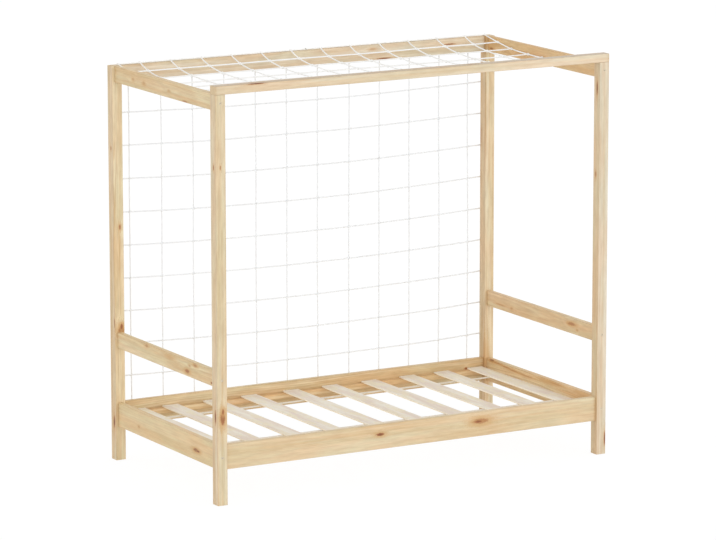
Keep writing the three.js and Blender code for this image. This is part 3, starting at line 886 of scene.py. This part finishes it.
def ribbon_cloth():
    shader = Shader("ribbon_cloth")
    x, y, z = shader.split(shader.coordinates("Object"))
    weft = shader.math("SINE", shader.times(x, 2 * math.pi / WEFT))
    warp = shader.math("SINE", shader.times(y, 2 * math.pi / WARP))
    weave = shader.times(weft, warp)
    wear = shader.noise((x, y, z), RIBBON_WEAR)
    worn_weave = shader.add(shader.times(weave, RIBBON_WEAVE_SHARE), wear)
    # Painted shade at the low points of the weave, mixed with the wear
    dark = shader.fade(worn_weave, *RIBBON_SHADE_RANGE, RIBBON_SHADE_SHARE)
    colour = shader.mix(dark, RIBBON_COLOUR, RIBBON_SHADE)
    return shader.finish(colour, RIBBON_ROUGHNESS, shader.bump(weave, RIBBON_RELIEF, RIBBON_BUMP))


def dip_at(x, spaces):
    """How far the ribbon sinks at a place along the bed: none under a slat."""
    for start, end in spaces:
        if start < x < end:
            return RIBBON_DIP * math.sin(math.pi * (x - start) / (end - start))
    return 0.0


def add_ribbon(side, cloth):
    node = f"slat_ribbon_{side}"
    low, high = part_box(node)
    slats = [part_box(f"slat_{number}") for number in range(1, SLAT_COUNT + 1)]
    spaces = [(this[1].x, following[0].x) for this, following in zip(slats, slats[1:])]
    across = [low.y + (high.y - low.y) * k / RIBBON_ROWS for k in range(RIBBON_ROWS + 1)]
    thin = [RIBBON_EDGE if k in (0, RIBBON_ROWS) else 0 for k in range(RIBBON_ROWS + 1)]
    steps = round((high.x - low.x) / RIBBON_STEP)
    bm = bmesh.new()
    rings = []
    for i in range(steps + 1):
        x = low.x + (high.x - low.x) * i / steps
        dip = dip_at(x, spaces)
        top_dip = dip * RIBBON_TOP_DIP_SHARE
        top = [bm.verts.new((x, y, high.z - edge - top_dip)) for y, edge in zip(across, thin)]
        under = [bm.verts.new((x, y, low.z + edge - dip)) for y, edge in zip(across, thin)]
        rings.append(top + under[::-1])
    for first, second in zip(rings, rings[1:]):
        for face in join_rings(bm, first, second):
            face.smooth = True
    bm.faces.new(rings[0])
    bm.faces.new(rings[-1])
    bmesh.ops.recalc_face_normals(bm, faces=bm.faces)
    piece = piece_from(bm, f"woven_ribbon_{side}", cloth)
    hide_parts(node)
    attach(piece, "root")


# Nets of twisted cord. Each cord is a round tube, and each crossing holds a small knot.

CORD_WIDTH = 5 * MM
CORD_SIDES = 8
CORD_STEP = 10 * MM
# How far the cords stray from their even places, how often in a metre, and where in the noise
# their strays along each axis start
CORD_STRAY = 3.2 * MM
STRAY_SCALE = 2.3
STRAY_STARTS = ((0, 0, 0), (0, 31, 0), (0, 0, 57))
# A direction whose upright part is at least this counts as upright
NEARLY_UPRIGHT = 0.9
STRANDS = 3
LAY_LENGTH = 13 * MM
KNOT_CORD_WIDTH = 3.4 * MM
KNOT_HALF = 3.7 * MM
KNOT_SLANT = 0.35
KNOT_STEPS = 14
KNOT_SIDES = 6
ROPE_COLOUR = (0.915, 0.928, 0.942)
ROPE_PALE = (0.985, 0.980, 0.960)
# Painted shade in the grooves between the strands
ROPE_GROOVE_SHADE = (0.820, 0.830, 0.840)
GROOVE_RANGE = (0.0, 0.55)
GROOVE_SHADE_SHARE = 0.4
ROPE_SOIL = (0.900, 0.900, 0.890)
SOIL = Pattern((9, 9, 9))
SOIL_RANGE = (0.35, 0.75)
SOIL_SHARE = 0.15
FUZZ = Pattern((1400, 1400, 1400))
FUZZ_HEIGHT = 0.35
ROPE_ROUGHNESS = 0.85
ROPE_RELIEF = 0.3 * MM


def rope(name, strand_colour):
    """White cord whose strands wind round it. The map holds the way round and the way along."""
    shader = Shader(name)
    uv = shader.tree.nodes.new("ShaderNodeUVMap")
    uv.uv_map = "cord"
    around, along = shader.split(uv.outputs[0])[:2]
    turns = shader.add(shader.times(around, STRANDS), shader.times(along, STRANDS / LAY_LENGTH))
    wave = shader.math("ABSOLUTE", shader.math("SINE", shader.times(turns, math.pi)))
    # Painted shade in the grooves between the strands
    groove_shade = shader.fade(wave, *GROOVE_RANGE)
    parts = shader.split(shader.coordinates("Object"))
    colour = shader.mix(shader.times(groove_shade, GROOVE_SHADE_SHARE), strand_colour, ROPE_GROOVE_SHADE)
    soil = shader.ramp(shader.noise(parts, SOIL), *SOIL_RANGE, 0.0, SOIL_SHARE)
    colour = shader.mix(soil, colour, ROPE_SOIL)
    height = shader.add(wave, shader.times(shader.noise(parts, FUZZ), FUZZ_HEIGHT))
    return shader.finish(colour, ROPE_ROUGHNESS, shader.bump(height, ROPE_RELIEF))


def tube(bm, uv_layer, points, width, sides):
    """A closed tube along points, with capped ends and its map filled in."""
    lengths = [0]
    for a, b in zip(points, points[1:]):
        lengths.append(lengths[-1] + (b - a).length)
    last = len(points) - 1
    rings = []
    side = None
    for index, point in enumerate(points):
        forward = (points[min(index + 1, last)] - points[max(index - 1, 0)]).normalized()
        if side is None:
            away = Vector((0, 0, 1)) if abs(forward.z) < NEARLY_UPRIGHT else Vector((1, 0, 0))
            side = forward.cross(away).normalized()
        else:
            side = (side - forward * side.dot(forward)).normalized()
        lift = forward.cross(side)
        ring = []
        for k in range(sides):
            angle = 2 * math.pi * k / sides
            out = side * math.cos(angle) + lift * math.sin(angle)
            ring.append(bm.verts.new(point + out * width / 2))
        rings.append(ring)
    for index in range(last):
        for k, face in enumerate(join_rings(bm, rings[index], rings[index + 1])):
            face.smooth = True
            places = ((k, index), (k + 1, index), (k + 1, index + 1), (k, index + 1))
            for loop, (step, row) in zip(face.loops, places):
                loop[uv_layer].uv = (step / sides, lengths[row])
    bm.faces.new(list(reversed(rings[0])))
    bm.faces.new(rings[-1])


def stray(point, seed):
    """A small, steady wander, so that no cord lies ruler straight."""
    place = point * STRAY_SCALE + Vector((seed, 0, 0))
    wander = Vector([noise.noise(place + Vector(start)) for start in STRAY_STARTS])
    return wander * CORD_STRAY


def knot(bm, uv_layer, centre, along, across):
    """A wrap of cord round a crossing: a ring over each diagonal."""
    normal = along.cross(across).normalized()
    for sign in (1, -1):
        diagonal = (along + across * sign).normalized()
        points = []
        for k in range(KNOT_STEPS + 1):
            angle = 2 * math.pi * k / KNOT_STEPS
            out = normal * math.cos(angle) + diagonal * math.sin(angle)
            drift = along * (KNOT_SLANT * math.sin(angle) * sign)
            points.append(centre + (out + drift) * KNOT_HALF)
        tube(bm, uv_layer, points, KNOT_CORD_WIDTH, KNOT_SIDES)


def curve_point(a, b, c, d, t):
    """The point at a share t of the way from b to c, on the Catmull-Rom curve through a to d."""
    return 0.5 * ((2 * b) + (c - a) * t + (2 * a - 5 * b + 4 * c - d) * t ** 2
                  + (3 * b - a - 3 * c + d) * t ** 3)


def smooth_path(points):
    """Points about a cord's step apart on a smooth curve through the given ones."""
    found = []
    last = len(points) - 1
    for i in range(last):
        a, b = points[max(i - 1, 0)], points[i]
        c, d = points[i + 1], points[min(i + 2, last)]
        count = max(1, round((c - b).length / CORD_STEP))
        found += [curve_point(a, b, c, d, k / count) for k in range(count)]
    found.append(points[-1])
    return found


def net(name, grid, node, material):
    """A net from a grid of crossings, column by column."""
    bm = bmesh.new()
    uv_layer = bm.loops.layers.uv.new("cord")
    last_column = len(grid) - 1
    last_row = len(grid[0]) - 1
    for cord in (*grid, *zip(*grid)):
        tube(bm, uv_layer, smooth_path(cord), CORD_WIDTH, CORD_SIDES)
    for i, column in enumerate(grid):
        for j, crossing in enumerate(column):
            along = grid[min(i + 1, last_column)][j] - grid[max(i - 1, 0)][j]
            across = column[min(j + 1, last_row)] - column[max(j - 1, 0)]
            knot(bm, uv_layer, crossing, along.normalized(), across.normalized())
    piece = piece_from(bm, name, material)
    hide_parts(node)
    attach(piece, "root")


COLUMNS = 14


def column_places(half_width, inner_share):
    """Where a net's columns lie: a border at each side, and the rest evenly between them."""
    inner = COLUMNS - 2
    places = [-half_width]
    for i in range(inner):
        places.append(half_width * inner_share * (2 * i / (inner - 1) - 1))
    places.append(half_width)
    return places


# The back net: how far each row sags in its middle, from the lowest row up, and how far each
# column lies from its even place, in millimetres
BACK_INNER_SHARE = 0.9
BACK_ROW_SAGS = (0, 16, 20, 21, 21, 22, 22, 18, 14, 15, 0)
BACK_COLUMN_SHIFTS = (0, -4, -3, -4, -4, -4, -4, -4, 0, 0, 0, 0, -4, 0)
BACK_STRAY_SEED = 11


def add_back_net(material):
    low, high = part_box("net_back")
    half = CORD_WIDTH / 2
    y = (low.y + high.y) / 2
    centre = (low.x + high.x) / 2
    border = (high.x - low.x) / 2 - half
    last_row = len(BACK_ROW_SAGS) - 1
    grid = []
    for x, shift in zip(column_places(border, BACK_INNER_SHARE), BACK_COLUMN_SHIFTS):
        column = []
        for j, sag in enumerate(BACK_ROW_SAGS):
            z = low.z + half + j / last_row * (high.z - low.z - 2 * half)
            z -= sag * MM * (1 - (x / border) ** 2)
            point = Vector((centre + x + shift * MM, y, z))
            if abs(x) < border:
                wander = stray(point, BACK_STRAY_SEED)
                point += Vector((wander.x, 0, wander.z))
            column.append(point)
        grid.append(column)
    net("rope_net_back", grid, "net_back", material)


# The top net's rows: how far back each lies on the bed and how high, in millimetres. On its two
# end columns, which lie along the side rails, the hanging rows are further forward and higher.
TOP_INNER_SHARE = 0.886
TOP_ROWS = [
    (410, 1502.8), (340, 1481.5), (240, 1467.5), (118, 1461.5), (18, 1461.0), (-100, 1466),
    (-205, 1477), (-305, 1496), (-387.2, 1520.3),
]
TOP_END_FORWARD = 30
TOP_END_RAISE = 5
TOP_STRAY_SEED = 23


def add_top_net(material):
    low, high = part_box("net_top")
    columns = column_places((high.x - low.x - CORD_WIDTH) / 2, TOP_INNER_SHARE)
    last_row = len(TOP_ROWS) - 1
    grid = []
    for i, x in enumerate(columns):
        column = []
        border = i in (0, COLUMNS - 1)
        for j, (y, z) in enumerate(TOP_ROWS):
            point = at(x / MM, y, z)
            hangs = 0 < j < last_row
            if hangs and border:
                point = at(x / MM, y - TOP_END_FORWARD, z + TOP_END_RAISE)
            elif hangs:
                point += stray(point, TOP_STRAY_SEED)
            column.append(point)
        grid.append(column)
    net("rope_net_top", grid, "net_top", material)


add_camera()
add_world()
add_key_light()
add_low_light()
add_floor()
dress_timber()
dress_slats()
dress_fixings()
cotton = ribbon_cloth()
add_ribbon("front", cotton)
add_ribbon("back", cotton)
add_back_net(rope("rope_back", ROPE_COLOUR))
add_top_net(rope("rope_top", ROPE_PALE))
